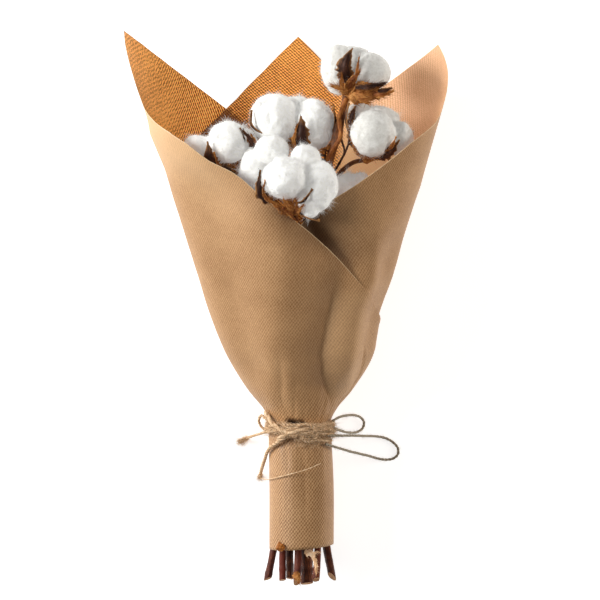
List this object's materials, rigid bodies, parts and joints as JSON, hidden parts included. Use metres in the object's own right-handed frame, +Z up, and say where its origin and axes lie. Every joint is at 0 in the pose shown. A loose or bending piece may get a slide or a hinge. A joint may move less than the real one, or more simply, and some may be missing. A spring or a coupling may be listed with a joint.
{
  "type": "cotton stem bunch",
  "caption": "Bunch of dried cotton stems with open bolls, wrapped in a kraft paper cone and tied with jute twine, lying on its back.",
  "frame": {"origin": "on the surface that the bunch lies on, under the middle of its outline", "axes": "+Y from the cut ends of the stems to the bolls, +X to the right as seen from above, +Z up from the surface through the front of the wrap"},
  "size_m": [0.2913, 0.5033, 0.1471],
  "materials": {
    "kraft_paper": "ribbed natural kraft paper, matt with a faint sheen, more orange on the inside",
    "stem_bark": "dry dark brown bark and burr valves with lighter fibrous edges",
    "cotton_fibre": "raw fluffy cotton, matt, with loose fibres",
    "jute_twine": "two-ply jute twine, hairy and matt"
  },
  "bodies": {
    "root": {"wrap_left": "kraft_paper", "wrap_right": "kraft_paper", "wrap_back": "kraft_paper", "stem_a": "stem_bark", "stem_b": "stem_bark", "stem_c": "stem_bark", "stem_d": "stem_bark", "stem_e": "stem_bark", "stem_f": "stem_bark", "stem_g": "stem_bark", "cotton_a": "cotton_fibre", "cotton_b": "cotton_fibre", "cotton_c": "cotton_fibre", "cotton_d": "cotton_fibre", "cotton_e": "cotton_fibre", "cotton_f": "cotton_fibre", "cotton_g": "cotton_fibre", "twine_turns": "jute_twine", "twine_knot": "jute_twine", "twine_loop_upper": "jute_twine", "twine_loop_lower": "jute_twine", "twine_tail_left": "jute_twine", "twine_tail_down": "jute_twine"}
  },
  "joints": []
}
